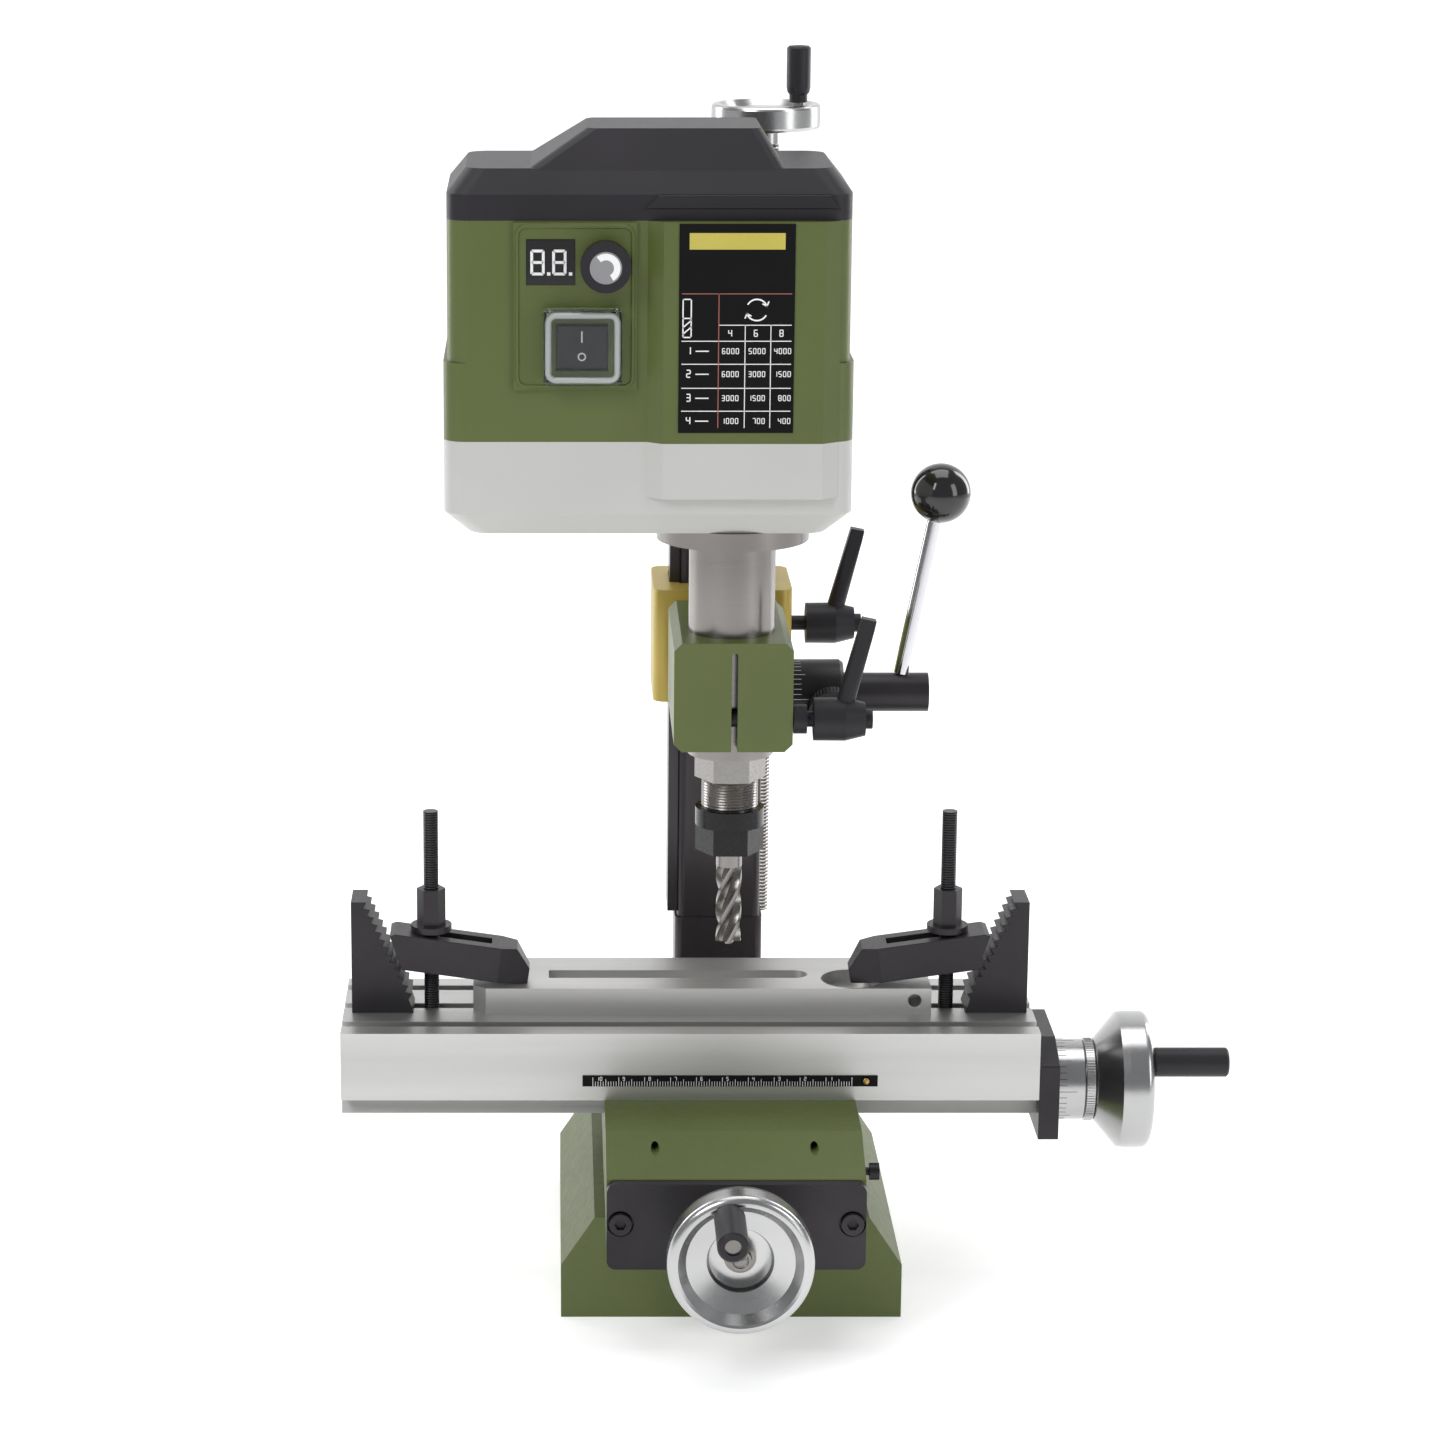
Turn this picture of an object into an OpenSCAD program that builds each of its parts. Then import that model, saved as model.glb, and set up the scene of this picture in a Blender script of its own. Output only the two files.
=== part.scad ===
// Benchtop milling machine with cross table, swivelling head and clamped work.
// Millimetres, Z up. X is along the table, Y runs back to the column, and the
// origin is the middle of the four mounting holes in the base's underside.

/* [Base] */
// Width of the base casting
base_w = 130.6; // [124:0.2:140]
// Length of the base's main block
base_l = 148; // [144:1:150]
// Height of the base's flat top
base_h = 40.6; // [40:0.2:41]
// Length of the column's pedestal behind the main block
pedestal_l = 60; // [56:1:66]

/* [Column] */
// Width of the column
column_w = 34; // [32:1:36]
// Depth of the column
column_d = 28.7; // [26:0.1:28.7]
// Height of the column's top above the bench
column_top = 418; // [410:1:425]

/* [Table] */
// Length of the cross table
table_l = 270; // [260:1:280]
// Depth of the cross table
table_d = 70; // [70:1:72]
// Height of the table's working face above the bench
table_top = 104.8; // [104:0.1:106]
// Width of a T-slot's neck
slot_neck = 6; // [5.8:0.1:6.4]
// Distance between T-slots
slot_pitch = 23; // [22:0.5:24]

/* [Head] */
// Outer radius of the quill tube
quill_r = 16.5; // [16.5:0.1:16.5]
// Depth of the housing from front to back
housing_d = 76.7; // [74:0.1:80]
// Diameter of the end mill
mill_d = 10; // [6:1:10]

/* [Handwheels] */
// Radius of the table's handwheels
wheel_r = 27; // [25:0.5:28]
// Length of a crank handle's sleeve
handle_l = 29; // [26:0.5:31]

/* [Hidden] */
$fn = 64;
eps = 0.05;          // running clearance on a shaft's radius
gap = 0.2;           // clearance between sliding flats

// base and ways
base_y0 = -75;
base_y1 = base_y0 + base_l;
way_z = 51;          // where the Y way starts to flare
way_top = 61;
way_root = 22;       // half widths of the Y way
way_wide = 27.8;
y_screw_z = 50;
screw_r = 4;
nut_y = -32;         // front of the Y nut, which the base holds

// saddle
saddle_w = 97;
saddle_y0 = -105.7;
saddle_y1 = 30;
saddle_top = 77.8;
slot_floor = 70.3;   // floor of the table's dovetail slot
plate_t = 5;         // front end plate

// table
table_x0 = -150.4;
table_x1 = table_x0 + table_l;
table_y0 = -46.5;
table_y1 = table_y0 + table_d;
table_cy = (table_y0 + table_y1) / 2;
tail_wide = 29;      // half widths of the table's dovetail
tail_root = 24.8;
x_screw_z = 74.5;
end_t = 7.9;         // right end plate
end_x = table_x1 + end_t;

// column, bracket and Z screw
column_y0 = 72.3;
column_y1 = column_y0 + column_d;
column_z0 = 70;
z_screw = [17.5, 112.5];
z_screw_r = 5;
bracket_z0 = 210.8;
bracket_z1 = 256.9;
bracket_y = [58.3, 106.7];
bracket_w = 55.8;

// swivel, quill, feed
swivel_z = 236;
spindle_y = -16.7;
block_z0 = 215.3;
block_z1 = 257.6;
block_y0 = -40.7;
block_y1 = 36;
block_w = 45.2;
feed_z = 227.2;
pinion_r = 8;
feed_y = spindle_y + quill_r + pinion_r;
tooth = PI;          // tooth pitch of rack and pinion, module 1

// housing
house_y0 = -52.7;
house_y1 = house_y0 + housing_d;
house_z = [300.6, 336.8, 418.5];
house_x = [-109, 42.8];
wall = 3;
panel_y = -57;       // front of the raised panel

GREEN = "#5e6b3a";
BLACK = "#2e2d30";
STEEL = "#a9a9ab";
ALU = "#c9c9ca";
BRASS = "#b38d3c";

// ---------- shared shapes ----------

// Box from one corner to the other
module box(a, b) {
    translate(a) cube(b - a);
}

// Cylinder from a point along an axis: "x", "y" or "z"
module rod(p, r, l, axis = "z") {
    turn = axis == "x" ? [0, 90, 0] : axis == "y" ? [-90, 0, 0] : [0, 0, 0];
    translate(p) rotate(turn) cylinder(r = r, h = l);
}

// Ring about a point, along an axis
module ring(p, ro, ri, l, axis = "z") {
    turn = axis == "x" ? [0, 90, 0] : axis == "y" ? [-90, 0, 0] : [0, 0, 0];
    translate(p) rotate(turn) difference() {
        cylinder(r = ro, h = l);
        translate([0, 0, -1]) cylinder(r = ri, h = l + 2);
    }
}

// Cap screw with a hex socket: head up, shank down from the origin
module cap_screw(d, l, head_r, head_h) {
    translate([0, 0, -l]) cylinder(r = d / 2, h = l);
    difference() {
        cylinder(r = head_r, h = head_h);
        translate([0, 0, head_h / 2]) cylinder(r = d * 0.45, h = head_h, $fn = 6);
    }
}

// Plan of a rectangle with round corners
module plan(x, y, r) {
    translate([x[0] + r, y[0]]) square([x[1] - x[0] - 2 * r, y[1] - y[0]]);
    translate([x[0], y[0] + r]) square([x[1] - x[0], y[1] - y[0] - 2 * r]);
    for (cx = [x[0] + r, x[1] - r], cy = [y[0] + r, y[1] - r])
        translate([cx, cy]) circle(r);
}

// Prism with round upright corners
module prism(x, y, z, r) {
    translate([0, 0, z[0]]) linear_extrude(z[1] - z[0]) plan(x, y, r);
}

// Y-Z outline stretched along X
module along_x(x, pts) {
    translate([x[0], 0, 0]) rotate([90, 0, 90]) linear_extrude(x[1] - x[0]) polygon(pts);
}

// X-Z outline stretched along Y
module along_y(y, pts) {
    translate([0, y[1], 0]) rotate([90, 0, 0]) linear_extrude(y[1] - y[0]) polygon(pts);
}

// Points of an arc, for outlines
function arc(c, r, a0, a1, n = 8) =
    [for (i = [0:n]) c + r * [cos(a0 + (a1 - a0) * i / n), sin(a0 + (a1 - a0) * i / n)]];

// ---------- base ----------

module base_casting() {
    w = base_w / 2;
    color(GREEN) difference() {
        union() {
            along_y([base_y0, base_y1],
                [[-w, 0], [w, 0], [w, 21.3], [w - 12.8, base_h], [12.8 - w, base_h], [-w, 21.3]]);
            prism([-45, 45], [base_y1 - 10, base_y1 + pedestal_l], [0, column_z0], 8);
            along_y([base_y0, base_y1 - 5], [[-way_root, base_h - 1], [way_root, base_h - 1],
                [way_root, way_z], [way_wide, way_top], [-way_wide, way_top], [-way_root, way_z]]);
        }
        // channel for the Y screw and its nut
        box([-9, base_y0 - 1, 36], [9, base_y1 - 12, way_top + 1]);
        // hollow underside
        box([-38, base_y0 + 12, -1], [38, base_y1 - 14, 24]);
        box([-34, base_y1 - 2, -1], [34, base_y1 + pedestal_l - 8, 30]);
        rod([0, nut_y + 11, 20], 2.6, 20);
        for (x = [-10, 10])
            rod([x, column_y0 + 14, 25], 4.1, 50);
        for (x = [-50, 50], y = [-55, 55])
            rod([x, y, -1], 2.5, 17);
    }
}

module y_nut() {
    color(BRASS) difference() {
        box([-8.5, nut_y, 36], [8.5, nut_y + 22, way_top - 0.3]);
        rod([0, nut_y - 1, y_screw_z], screw_r + eps, 24, "y");
        rod([0, nut_y + 11, 35], 2.6, 9);
    }
}

module y_nut_screw() {
    color(BLACK) translate([0, nut_y + 11, 24]) rotate([180, 0, 0]) cap_screw(5, 18, 4.2, 4);
}

module column() {
    w = column_w / 2;
    color(BLACK) difference() {
        union() {
            prism([-w, w], [column_y0, column_y1], [column_z0, column_top], 3);
            prism([-w - 1, w + 1], [column_y0 - 0.8, column_y1], [column_z0, 116], 3);
        }
        for (x = [-10, 10], z = [column_z0 - 1, column_top - 16])
            rod([x, column_y0 + 14, z], 4.1, 28);
    }
}

module column_bolts() {
    color(STEEL) for (x = [-10, 10])
        translate([x, column_y0 + 14, 30]) rotate([180, 0, 0]) cap_screw(8, 64, 6.5, 8);
}

module column_rail() {
    w = column_w / 2;
    color(BLACK) box([-w - 4, column_y0 + 2, 118], [-w, column_y1 - 5, column_top]);
}

// Plate on the column's top that carries the Z screw
module top_bearing() {
    color(BLACK) {
        difference() {
            prism([-20, 28], [column_y0 + 2, z_screw[1] + 9], [column_top, column_top + 6], 5);
            rod([z_screw[0], z_screw[1], column_top - 1], screw_r + eps, 8);
            for (x = [-10, 10])
                rod([x, column_y0 + 14, column_top - 1], 4.1, 8);
        }
    }
    color(STEEL) for (x = [-10, 10])
        translate([x, column_y0 + 14, column_top + 6]) cap_screw(8, 18, 6.2, 5);
}

// ---------- saddle ----------

// Outline of the Y way, grown sideways by g on the left and by h on the right
function way_outline(g, h, z0, z1) = [
    [-way_root - g, z0], [way_root + h, z0], [way_root + h, way_z],
    [way_wide + h, z1], [-way_wide - g, z1], [-way_root - g, way_z]];

// Outline of the table's dovetail slot, grown by g in front and by h behind
function tail_outline(g, h, z0, z1) = [
    [table_cy - tail_wide - g, z0], [table_cy + tail_wide + h, z0],
    [table_cy + tail_root + h, z1], [table_cy - tail_root - g, z1]];

module saddle() {
    w = saddle_w / 2;
    color(GREEN) difference() {
        along_x([-w, w], [[saddle_y0, 41], [saddle_y1, 41], [saddle_y1, saddle_top],
            [-81, saddle_top], [saddle_y0, 67.5]]);
        along_y([saddle_y0 - 1, saddle_y1 + 1], way_outline(gap, 3.6, 40, way_top + gap));
        along_x([-w - 1, w + 1], tail_outline(3.6, gap, slot_floor, saddle_top + 0.01));
        // groove under the X screw and seat of its nut
        box([-w - 1, table_cy - 9.5, 65.5], [w + 1, table_cy + 9.5, 71]);
        // gib screws, clamp screw and the end plate's screws
        for (y = [-89, -53.5, 5])
            rod([way_root, y, 57.5], 1.6, 40, "x");
        rod([way_root, -70, 57.5], 1.6, 40, "x");
        for (x = [-43.3, 43.3])
            rod([x, saddle_y0 - 1, 51.8], 2.6, 14, "y");
        for (x = [-30, 30])
            rod([x, saddle_y0 - 1, 74], 1.6, 64, "y");
    }
}

module y_gib() {
    color(STEEL) along_y([saddle_y0 + 0.5, saddle_y1 - 1], [
        [way_root + gap, way_z - 6], [way_root + 3.4, way_z - 6], [way_root + 3.4, way_z - 0.1],
        [way_wide + 3.3, way_top - 0.1], [way_wide + gap, way_top - 0.1], [way_root + gap, way_z]]);
}

module x_gib() {
    f = table_cy - tail_wide;
    t = table_cy - tail_root;
    lean = (t - f) / (78 - slot_floor - gap);   // slope of the table's dovetail
    z0 = slot_floor + 0.1;
    z1 = saddle_top - 0.3;
    color(STEEL) along_x([-saddle_w / 2 + 1, saddle_w / 2 - 1], [
        [f - 3.4, z0], [f - gap + lean * (z0 - slot_floor - gap), z0],
        [f - gap + lean * (z1 - slot_floor - gap), z1], [t - 3.4, z1]]);
}

// Set screws behind both gibs, and the longer clamp screw with its head
module gib_screws() {
    w = saddle_w / 2;
    color(BLACK) {
        for (y = [-89, -53.5, 5])
            rod([way_wide + 2.2, y, 57.5], 1.5, w - way_wide - 1.7, "x");
        rod([way_wide + 2.2, -70, 57.5], 1.5, w - way_wide + 3, "x");
        translate([w + 4, -70, 57.5]) rotate([0, 90, 0]) difference() {
            cylinder(r = 3.3, h = 3.7);
            translate([0, 0, 2]) cylinder(r = 1.4, h = 3, $fn = 6);
        }
        for (x = [-30, 30])
            rod([x, -81, 74], 1.5, 81 + table_cy - tail_wide - 1.3, "y");
    }
}

module y_end_plate() {
    y0 = saddle_y0 - plate_t;
    color(BLACK) difference() {
        translate([0, saddle_y0, 0]) rotate([90, 0, 0]) linear_extrude(plate_t)
            plan([-48.4, 48.4], [33.6, 67.3], 3.5);
        rod([0, y0 - 1, y_screw_z], screw_r + eps, 8, "y");
        for (x = [-43.3, 43.3]) {
            rod([x, y0 - 1, 51.8], 2.6, 8, "y");
            rod([x, y0 - 1, 51.8], 5, 3.2, "y");
        }
    }
}

module y_plate_screws() {
    color(BLACK) for (x = [-43.3, 43.3])
        translate([x, saddle_y0 - plate_t + 2.2, 51.8]) rotate([90, 0, 0]) cap_screw(5, 12, 4.2, 3.6);
}

module x_nut() {
    color(BRASS) difference() {
        box([-11, table_cy - 8.5, 65.5], [11, table_cy + 8.5, 81.5]);
        rod([-12, table_cy, x_screw_z], screw_r + eps, 24, "x");
    }
}

// ---------- handwheels ----------

// Table handwheel about its own axis: z = 0 at the end plate's outer face, rim outwards
module handwheel_shape(pin_at) {
    difference() {
        rotate_extrude() polygon(concat(
            [[screw_r + 0.01, 0.5], [7.95, 0.5], [7.95, 17.4], [16, 17.4], [wheel_r - 0.4, 26.2]],
            arc([wheel_r - 2.5, 29], 2.5, 0, 0, 1),
            arc([wheel_r - 3, 35.6], 3, 0, 90),
            [[wheel_r - 4, 38.2], [20, 34.6], [12.4, 32.2], [11.5, 30], [11.5, 25],
                [screw_r + 0.01, 25]]));
        translate([pin_at[0], pin_at[1], 28]) cylinder(r = 3.02, h = 20);
    }
}

// Dial ring that sits on the handwheel's hub, with its knurled collar
module dial_shape() {
    rotate_extrude() polygon([[8, 0.8], [15.4, 0.8], [15.9, 1.3], [15.9, 12.6], [15.2, 13],
        [16.2, 13.4], [16.2, 16.6], [15.8, 17], [8, 17]]);
}

module pin_shape() {
    translate([0, 0, 28.2]) cylinder(r = 3, h = handle_l + 9.4);
}

module sleeve_shape() {
    difference() {
        translate([0, 0, 38.9]) rotate_extrude() polygon([[3 + eps, 0], [5.3, 0], [5.75, 0.6],
            [5.75, handle_l - 0.8], [5, handle_l], [3 + eps, handle_l]]);
    }
}

// Place a shape on the Y wheel's axis or on the X wheel's axis
module at_y_wheel() {
    translate([0, saddle_y0 - plate_t, y_screw_z]) rotate([90, 0, 0]) children();
}
module at_x_wheel() {
    translate([end_x, table_cy, x_screw_z]) rotate([90, 0, 90]) children();
}
y_pin = [-4.4, 18.9];
x_pin = [-15.1, 12.1];

module cap_nut_shape() {
    translate([0, 0, 25]) rotate_extrude() polygon(concat([[screw_r + 0.01, 0], [6, 0], [6, 4],
        [4.3, 4.6]], arc([0, 4.6], 4.3, 0, 90), [[0, 7.5], [screw_r + 0.01, 7.5]]));
}

module y_screw() {
    color(STEEL) {
        rod([0, saddle_y0 - plate_t - 31, y_screw_z], screw_r, 31 + plate_t + 141, "y");
        at_y_wheel() cap_nut_shape();
    }
}
module y_handwheel() { color(ALU) at_y_wheel() handwheel_shape(y_pin); }
module y_dial() { color(ALU) at_y_wheel() dial_shape(); }
module y_handle_pin() { color(STEEL) at_y_wheel() translate(y_pin) pin_shape(); }
module y_handle() { color(BLACK) at_y_wheel() translate(y_pin) sleeve_shape(); }

module x_screw() {
    color(STEEL) {
        rod([-86, table_cy, x_screw_z], screw_r, 86 + end_x + 31, "x");
        at_x_wheel() cap_nut_shape();
    }
}
module x_handwheel() { color(ALU) at_x_wheel() handwheel_shape(x_pin); }
module x_dial() { color(ALU) at_x_wheel() dial_shape(); }
module x_handle_pin() { color(STEEL) at_x_wheel() translate(x_pin) pin_shape(); }
module x_handle() { color(BLACK) at_x_wheel() translate(x_pin) sleeve_shape(); }

// ---------- table and clamped work ----------

module table() {
    slot_y = [for (i = [-1:1]) table_cy + i * slot_pitch];
    color(ALU) difference() {
        union() {
            box([table_x0, table_y0, 77.8], [table_x1, table_y1, table_top]);
            along_x([table_x0, table_x1], tail_outline(0, 0, slot_floor + gap, 78));
        }
        for (y = slot_y) {
            box([table_x0 - 1, y - slot_neck / 2, table_top - 11],
                [table_x1 + 1, y + slot_neck / 2, table_top + 1]);
            box([table_x0 - 1, y - 5.5, table_top - 11], [table_x1 + 1, y + 5.5, table_top - 6]);
        }
        // channel for the X screw and its nut
        box([-102, table_cy - 9.5, 68], [table_x1 + 1, table_cy + 9.5, 82.5]);
        for (y = [table_cy - 22, table_cy + 22])
            rod([table_x1 - 12, y, 86], 2.6, 14, "x");
    }
}

module scale_strip() {
    color(BLACK) box([-57, table_y0 - 0.4, 83.6], [57, table_y0, 88]);
    color(BRASS) rod([52.5, table_y0 - 0.8, 85.8], 1.6, 0.4, "y");
}

module x_end_plate() {
    y0 = table_y0;
    color(BLACK) difference() {
        along_x([table_x1, end_x], [[y0, 61.6], [y0, 91.6], [y0 + 18, 97.8],
            [table_y1 - 18, 97.8], [table_y1, 91.6], [table_y1, 61.6]]);
        rod([table_x1 - 1, table_cy, x_screw_z], screw_r + eps, end_t + 2, "x");
        for (y = [table_cy - 22, table_cy + 22]) {
            rod([table_x1 - 1, y, 86], 2.6, end_t + 2, "x");
            rod([end_x - 4.5, y, 86], 4.5, 5, "x");
        }
    }
}

module x_plate_screws() {
    color(BLACK) for (y = [table_cy - 22, table_cy + 22])
        translate([end_x - 4.4, y, 86]) rotate([0, 90, 0]) cap_screw(5, 14, 4.2, 4);
}

// Plate being milled: chamfered end, a long slot, a round pocket and a tapped hole
work_x = [-99.6, 79.4];
work_y = [-22.3, 18];
work_z = [table_top, table_top + 10.5];
module workpiece() {
    color(ALU) difference() {
        translate([0, 0, work_z[0]]) linear_extrude(work_z[1] - work_z[0]) polygon([
            [work_x[0], work_y[1]], [work_x[0], work_y[0] + 5], [work_x[0] + 5, work_y[0]],
            [work_x[1], work_y[0]], [work_x[1], work_y[1]]]);
        box([-70, table_cy + 3, work_z[1] - 4], [27, table_cy + 13, work_z[1] + 1]);
        rod([27, table_cy + 8, work_z[1] - 4], 5, 6);
        rod([49, table_cy + 2, work_z[1] - 5], 12, 7);
        rod([73, work_y[0] - 1, work_z[0] + 5.4], 2.6, 12, "y");
        rod([73, work_y[0] - 1, work_z[0] + 5.4], 3.1, 1.6, "y");
    }
}

// Step clamps: each is drawn on the left and mirrored to the right
stud_x = [-116, 86];
arm_tilt = 8;
arm_h = 14;

// Stand a left-hand clamp shape at a stud; the right one faces the other way
module at_stud(i) {
    translate([stud_x[i], table_cy, table_top]) mirror([i, 0, 0]) children();
}

module clamp_studs() {
    color(BLACK) for (i = [0, 1]) at_stud(i) {
        translate([0, 0, -8]) cylinder(r = 2.9, h = 87.5);
        box([-6, -5.2, -10.9], [6, 5.2, -6.3]);
    }
}

module clamp_nuts() {
    color(BLACK) for (i = [0, 1]) at_stud(i) difference() {
        union() {
            translate([0, 0, 31.3]) cylinder(r = 8, h = 2.4);
            translate([0, 0, 33.7]) cylinder(r = 5.6, h = 14.6, $fn = 6);
        }
        translate([0, 0, 31]) cylinder(r = 2.92, h = 20);
    }
}

// Clamp arm: its nose presses on the work and its heel rests in the step block
module clamp_arms() {
    color(BLACK) for (i = [0, 1]) at_stud(i)
        translate([0, 0, 30]) rotate([0, arm_tilt, 0]) difference() {
            translate([0, -9, 0]) intersection() {
                along_y([0, 18], [[-9.6, -arm_h], [40, -arm_h], [40, -8], [34, 0], [-14, 0], [-16, -1]]);
                translate([-20, 0, -20]) linear_extrude(40)
                    polygon([[0, 0], [48, 0], [60, 5], [60, 13], [48, 18], [0, 18]]);
            }
            box([-5, -3.4, -20], [24, 3.4, 5]);
        }
}

// Serrated block: teeth climb along its sloping inner side
module step_blocks() {
    rise = 3.1;
    color(BLACK) for (i = [0, 1]) at_stud(i) along_y([-9, 9], concat(
        [[-31, 0], [-31, 45]],
        [for (k = [0:12]) each [[-24.9 + k * 1.45, 45 - k * rise], [-26.2 + k * 1.45, 42.6 - k * rise]]],
        [[-6.9, 0]]));
}

// ---------- Z screw and bracket ----------

module at_z_wheel() {
    translate([z_screw[0], z_screw[1], column_top + 12]) children();
}
z_pin = [13, 0];

module z_screw_shaft() {
    color(STEEL) {
        rod([z_screw[0], z_screw[1], 108], z_screw_r, column_top - 109);
        rod([z_screw[0], z_screw[1], 108], screw_r, column_top - 108 + 26);
        rod([z_screw[0], z_screw[1], column_top + 6.3], 5.4, 5.2);
    }
}

module z_handwheel() {
    color(ALU) at_z_wheel() difference() {
        rotate_extrude() polygon(concat([[screw_r + 0.01, 0], [6, 0], [6, 4.2], [14, 6]],
            arc([20.5, 7.5], 1.5, -90, 0, 3), arc([20.5, 14.5], 1.5, 0, 90, 3),
            [[19, 16], [17, 13.6], [9, 12.6], [screw_r + 0.01, 12.6]]));
        translate([z_pin[0], z_pin[1], 5]) cylinder(r = 2.02, h = 20);
    }
}

module z_handle_pin() {
    color(STEEL) at_z_wheel() translate([z_pin[0], z_pin[1], 5.4]) cylinder(r = 2, h = 30);
}

module z_handle() {
    color(BLACK) at_z_wheel() translate([z_pin[0], z_pin[1], 16.4]) rotate_extrude()
        polygon([[2 + eps, 0], [3.6, 0], [3.6, 3], [4.4, 4], [4.8, 6], [4.8, 21.6], [4, 22.4],
            [2 + eps, 22.4]]);
}

// Carriage that wraps the column, with the round boss the head swivels on
module z_bracket() {
    w = bracket_w / 2;
    c = column_w / 2;
    color(BRASS) difference() {
        union() {
            prism([-w, w], bracket_y, [bracket_z0, bracket_z1], 5);
            rod([0, block_y1 + 0.3, swivel_z], 20, 24, "y");
            rod([0, 23, swivel_z], 8, 40, "y");
        }
        box([-c - gap, column_y0 - gap, bracket_z0 - 1], [c + gap, column_y1 + gap, bracket_z1 + 1]);
        box([-c - 4 - gap, column_y0 + 2 - gap, bracket_z0 - 1],
            [-c, column_y1 - 5 + gap, bracket_z1 + 1]);
        rod([c - 1, column_y0 + 6.5, 239], 3.05, 20, "x");
        for (x = [9, 25])
            rod([x, bracket_y[1] - 5, 234], 1.6, 6, "y");
    }
}

module z_nut() {
    color(BRASS) difference() {
        box([4.5, bracket_y[1], 222], [30.5, z_screw[1] + 8, 246]);
        rod([z_screw[0], z_screw[1], 221], z_screw_r + eps, 26);
    }
    color(BLACK) for (x = [7.5, 27.5])
        rod([x, z_screw[1] + 8, 234], 2.4, 2.4, "y");
}

// Clamping lever: hub along +X from the origin, arm up and slightly outwards
module lever_shape(stud_l) {
    rod([-stud_l, 0, 0], 3, stud_l + 4, "x");
    difference() {
        translate([0.4, 0, 0]) rotate([0, 90, 0]) rotate_extrude() polygon([[3.02, 0], [8.2, 0],
            [8.3, 12], [6.4, 19.6], [3.75, 19.6], [3.75, 22.4], [3.02, 22.4]]);
        translate([-1, 0, 0]) rotate([0, 90, 0]) cylinder(r = 3.02, h = 2);
    }
    rod([3.9, 0, 0], 3.02, 18, "x");
    hull() {
        translate([12, 0, 5]) sphere(r = 3.6, $fn = 20);
        translate([20.5, 0, 37]) rotate([0, 12, 0]) cube([5.4, 5, 4], center = true);
    }
}

module bracket_lever() {
    color(BLACK) translate([bracket_w / 2 + 6.2, column_y0 + 6.5, 239])
        lever_shape(bracket_w / 2 + 6.2 - column_w / 2 - 0.5);
}

// ---------- head ----------

module clamp_block() {
    w = block_w / 2;
    k = 3;
    color(GREEN) difference() {
        along_y([block_y0, block_y1], [[k - w, block_z0], [w - k, block_z0], [w, block_z0 + k],
            [w, block_z1 - k], [w - k, block_z1], [k - w, block_z1], [-w, block_z1 - k],
            [-w, block_z0 + k]]);
        rod([0, spindle_y, block_z0 - 1], quill_r + eps, 50);
        // clamping slit with a round top
        box([-0.8, block_y0 - 1, block_z0 - 1], [1.6, spindle_y - 10, block_z1 - 5]);
        rod([0.4, block_y0 - 1, block_z1 - 5], 1.2, 12, "y");
        // slit lever's screw, pinion shaft with its pocket, swivel bore
        rod([-12, -36.2, feed_z], 3.1, 40, "x");
        rod([-w - 1, feed_y, feed_z], 5 + eps, block_w + 2, "x");
        rod([-8, feed_y, feed_z], pinion_r + 1.6, 16, "x");
        box([-6, spindle_y + 12, block_z0 - 1], [6, feed_y, block_z1 + 1]);
        rod([0, 22.6, swivel_z], 8 + eps, 20, "y");
    }
}

module slit_lever() {
    color(BLACK) translate([30.2, -36.2, feed_z]) lever_shape(40);
    color(STEEL) ring([23, -36.2, feed_z], 5.6, 3.02, 5, "x");
}

module feed_shaft() {
    n = 16;
    color(STEEL) {
        rod([-block_w / 2, feed_y, feed_z], 5, block_w + 2, "x");
        translate([0, feed_y, feed_z]) rotate([0, 90, 0]) for (k = [0:n - 1])
            rotate([0, 0, k * 360 / n - 90]) translate([0, 0, -7.5]) linear_extrude(15)
                polygon([[4, -1], [6.9, -0.9], [8, -0.55], [8.7, -0.32], [8.7, 0.32], [8, 0.55],
                    [6.9, 0.9], [4, 1]]);
    }
    color(BLACK) rod([23.6, feed_y, feed_z], 7.6, 54.4, "x");
}

// Index ring with its knurled clamp screw
module feed_dial() {
    color(BLACK) {
        difference() {
            translate([24.2, feed_y, feed_z]) rotate([0, 90, 0]) rotate_extrude()
                polygon([[7.6 + eps, 0], [12.8, 0], [12.8, 19], [11.8, 20.4], [7.6 + eps, 20.4]]);
            translate([40, feed_y, feed_z]) rotate([105, 0, 0]) cylinder(r = 2.02, h = 20);
        }
        translate([40, feed_y, feed_z]) rotate([105, 0, 0]) {
            translate([0, 0, 8.4]) cylinder(r = 2, h = 8);
            translate([0, 0, 13.4]) cylinder(r = 9.6, h = 4.6);
        }
    }
}

feed_lean = 11;
module feed_rod() {
    color(STEEL) translate([66, feed_y, feed_z]) rotate([0, feed_lean, 0])
        translate([0, 0, 7.8]) cylinder(r = 2.9, h = 66);
}

module feed_ball() {
    color(BLACK) translate([66, feed_y, feed_z]) rotate([0, feed_lean, 0]) difference() {
        translate([0, 0, 80.4]) sphere(r = 11.6);
        translate([0, 0, 60]) cylinder(r = 2.92, h = 13.9);
    }
}

// ---------- quill and housing ----------

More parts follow.
